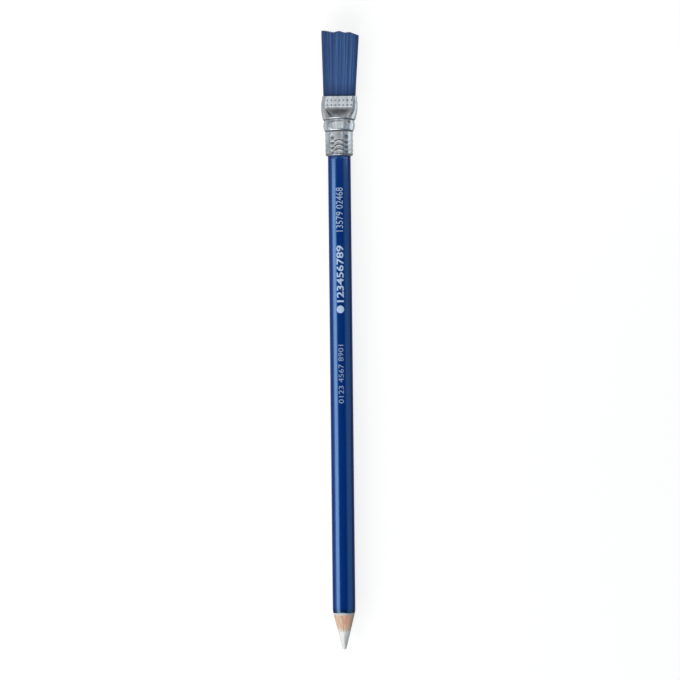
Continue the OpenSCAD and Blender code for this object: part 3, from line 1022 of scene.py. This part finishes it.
def make_tuft(material):
    """The brush: strands planted over the ferrule's mouth and spread a little to their tips."""
    chance = random.Random(11)
    strand = make_strand()
    unit = np.array([v.co[:] for v in strand.data.vertices])
    faces = [list(p.vertices) for p in strand.data.polygons]
    bpy.data.objects.remove(strand)
    points, polygons, shades = [], [], []
    for i in range(STRAND_COLUMNS):
        for j in range(STRAND_ROWS):
            u = (i + 0.5 + ROOT_STRAY * chance.uniform(-1, 1)) / STRAND_COLUMNS * 2 - 1
            v = (j + 0.5 + ROOT_STRAY * chance.uniform(-1, 1)) / STRAND_ROWS * 2 - 1
            start = len(points)
            own_points, own_shades = planted(unit, u, v, chance)
            points.extend(own_points)
            polygons.extend([start + k for k in face] for face in faces)
            shades.extend(own_shades)
    mesh = bpy.data.meshes.new("brush_bristles")
    mesh.from_pydata(points, [], polygons)
    store(mesh, "strand_tone_and_painted_shade", shades)
    piece = bpy.data.objects.new("brush_bristles", mesh)
    bpy.context.scene.collection.objects.link(piece)
    smooth(piece, 60)
    finished(piece, material, "bristle", "bristle_tuft")


# Stamped numbers

FOIL_T = 0.008 * MM
# How far the foil is sunk into the lacquer
FOIL_SINK = 0.004 * MM
FOIL_CUTS = 12
PRINT_ASIDE = -0.15 * MM
# Each line of numbers: text, height of its start and end on the barrel, size of a figure, how much
# bolder than the plain face it is, and how bright its foil still is
NUMBER_LINES = [
    ("13579 02468", 137.6 * MM, 152 * MM, 2.3 * MM, -0.004, 0.85),
    ("123456789", 114.4 * MM, 133 * MM, 2.4 * MM, 0.02, 1),
    ("0123 4567 8901", 81.2 * MM, 100.4 * MM, 1.7 * MM, 0, 0.62),
]
# The round spot before the second line: height of its start and end
SPOT = (110.8 * MM, 113.3 * MM)


def make_numbers(index, text, start, end, size, bold, material):
    """A line of plain figures that reads up the barrel."""
    deselect_all()
    bpy.ops.object.text_add()
    line = bpy.context.object
    line.data.body = text
    line.data.resolution_u = 3
    line.data.offset = bold
    bpy.ops.object.convert(target="MESH")
    stamped(bpy.context.object, f"stamped_numbers_{index}", start, end, size, material)


def make_spot(start, end, material):
    """A plain round spot, as wide as it is long."""
    deselect_all()
    bpy.ops.mesh.primitive_circle_add(vertices=48, radius=1, fill_type="TRIFAN")
    stamped(bpy.context.object, "stamped_spot", start, end, end - start, material)


def stamped(line, name, start, end, size, material):
    """A flat shape pressed onto the barrel as a thin film, stretched from start to end."""
    line.name = line.data.name = name
    corners = np.array([v.co[:2] for v in line.data.vertices])
    low, high = corners.min(axis=0), corners.max(axis=0)
    run = (end - start) / (high[0] - low[0])
    rise = size / (high[1] - low[1])
    bpy.ops.object.mode_set(mode="EDIT")
    for i in range(1, FOIL_CUTS):
        bpy.ops.mesh.select_all(action="SELECT")
        level = float(mix(low[1], high[1], i / FOIL_CUTS))
        bpy.ops.mesh.bisect(plane_co=(0, level, 0), plane_no=(0, 1, 0))
    bpy.ops.mesh.select_all(action="SELECT")
    bpy.ops.mesh.remove_doubles(threshold=1e-6)
    bpy.ops.object.mode_set(mode="OBJECT")
    radius = BARREL_R + FOIL_T

    def wrapped(point):
        across = PRINT_ASIDE - (point.y - (low[1] + high[1]) / 2) * rise
        angle = across / radius
        height = start + (point.x - low[0]) * run
        return Vector((radius * math.sin(angle), -radius * math.cos(angle), height))

    moved_points(line, wrapped)
    only(line)
    bpy.ops.object.mode_set(mode="EDIT")
    turn_outward()
    bpy.ops.object.mode_set(mode="OBJECT")
    outward = sum(p.normal.dot(Vector((p.center.x, p.center.y, 0))) for p in line.data.polygons)
    if outward < 0:
        line.data.flip_normals()
    film = line.modifiers.new("film", "SOLIDIFY")
    film.thickness = FOIL_T + FOIL_SINK
    film.offset = -1
    bpy.ops.object.modifier_apply(modifier=film.name)
    smooth(line, 30)
    finished(line, material, "ferrule_metal")


# Build

wood_left = wood_material("wood_of_the_left_slat", (0.74, 0.54, 0.40), (0.58, 0.40, 0.28), (1, 1, 1))
wood_right = wood_material("wood_of_the_right_slat", (0.86, 0.61, 0.43), (0.69, 0.46, 0.31),
                           (1.0, 0.75, 0.78))
make_lacquer(lacquer_material())
make_primer(primer_material())
make_slats((wood_left, wood_right))
make_core(eraser_material())
make_ferrule(metal_material())
make_resin(hardened_material("hardened_resin", (0.48, 0.34, 0.15), (0.30, 0.19, 0.07)))
make_tuft(bristle_material())
for number, (text, start, end, size, bold, bright) in enumerate(NUMBER_LINES, 1):
    make_numbers(number, text, start, end, size, bold, foil_material(f"stamped_foil_{number}", bright))
make_spot(*SPOT, foil_material("stamped_foil_spot", 1.04))

# Hidden fillings that keep the solid model's own meshes
KEPT_NODES = {
    "slat_glue": hardened_material("hardened_wood_glue", (0.62, 0.46, 0.30), (0.45, 0.31, 0.19)),
    "ferrule_cement": hardened_material("hardened_cement", (0.58, 0.53, 0.42), (0.40, 0.36, 0.27)),
}
for node, kept in KEPT_NODES.items():
    mesh = frame["nodes"][node].data
    mesh.materials.clear()
    mesh.materials.append(kept)


# Floor and light

FLOOR_SIDE = 12
FLOOR_DROP = 0.05 * MM
# The floor's glow, and how much of it a mirroring surface sees
FLOOR_GLOW = 0.8
MIRRORED = 0.6
WORLD_STRENGTH = 0.08
WHITE = (1, 1, 1)
# Each soft box: name, middle, lean along the pencil and to its side in degrees, width, length,
# radiance and colour
SOFT_BOXES = [
    ("left_strip", (-0.1292, -0.117, 0.0803), (0, -62), 0.108, 0.374, 1.2, WHITE),
    ("left_fill", (-0.5, 0.1, 0.26), (0, -66), 0.5, 0.5, 0.45, WHITE),
    ("right_fill", (0.44, -0.161, 0.24), (0, 62), 0.5, 0.478, 0.32, (0.34, 0.68, 1)),
    ("ferrule_fill", (0.09, 0.081, 0.052), (0, 60), 0.1, 0.036, 0.31, WHITE),
    ("ferrule_card", (0.0855, 0.075, 0.0228), (0, 161), 0.1365, 0.026, 0.7, WHITE),
    ("brush_light", (-0.03, 0.124, 0.2), (0, 0), 0.3, 0.1, 1.0, WHITE),
    ("brush_glow", (0, 0.3225, 0.2), (0, 0), 0.4, 0.295, 0.35, WHITE),
    ("brush_haze", (0, 0.76, 0.2), (0, 0), 0.6, 0.56, 0.16, WHITE),
    ("shoulder_fill", (0.3, 0.27, 0.2), (0, 0), 0.2, 0.32, 0.5, WHITE),
    ("point_light", (-0.35, -0.95, 0.62), (51, -30), 1.2, 0.6, 4.8, WHITE),
]


def white_when_seen(tree, dim, seen):
    """A strength that is higher where the camera, or a mirroring surface, looks straight at it."""
    path = add_node(tree, "ShaderNodeLightPath")
    mirrored = add_node(tree, "ShaderNodeMath", operation="MULTIPLY")
    tree.links.new(path.outputs["Is Glossy Ray"], mirrored.inputs[0])
    mirrored.inputs[1].default_value = MIRRORED
    either = add_node(tree, "ShaderNodeMath", operation="MAXIMUM")
    tree.links.new(path.outputs["Is Camera Ray"], either.inputs[0])
    tree.links.new(mirrored.outputs[0], either.inputs[1])
    return spread(tree, either.outputs[0], dim, seen)


def make_floor():
    """A floor a hair below the pencil. It looks white and is mirrored, but lights nothing else."""
    deselect_all()
    bpy.ops.mesh.primitive_plane_add(size=FLOOR_SIDE, location=(0, 0, -FLOOR_DROP))
    floor = bpy.context.object
    floor.name = "floor"
    material, tree, shader = new_material("pale_floor")
    set_inputs(shader, {
        "Base Color": (0.3, 0.3, 0.3, 1),
        "Roughness": 0.9,
        "Specular IOR Level": 0,
        "Emission Color": (1, 1, 1, 1),
    })
    tree.links.new(white_when_seen(tree, 0, FLOOR_GLOW), shader.inputs["Emission Strength"])
    floor.data.materials.append(material)


def add_softbox(name, middle, lean, width, length, radiance, color):
    """A soft box that gives light without being seen itself."""
    data = bpy.data.lights.new(name, "AREA")
    data.shape = "RECTANGLE"
    data.size = width
    data.size_y = length
    data.color = color
    data.energy = radiance * math.pi * width * length
    lamp = bpy.data.objects.new(name, data)
    lamp.location = middle
    lamp.rotation_euler = [math.radians(angle) for angle in (*lean, 0)]
    lamp.visible_camera = False
    bpy.context.scene.collection.objects.link(lamp)


def add_lights():
    """A studio that is white to the camera and dim to the pencil, and its soft boxes."""
    world = bpy.data.worlds.new("studio")
    world.use_nodes = True
    tree = world.node_tree
    sky = tree.nodes["Background"]
    sky.inputs["Color"].default_value = (1, 1, 1, 1)
    path = add_node(tree, "ShaderNodeLightPath")
    tree.links.new(spread(tree, path.outputs["Is Camera Ray"], WORLD_STRENGTH, 1), sky.inputs["Strength"])
    bpy.context.scene.world = world
    for box in SOFT_BOXES:
        add_softbox(*box)


make_floor()
add_lights()
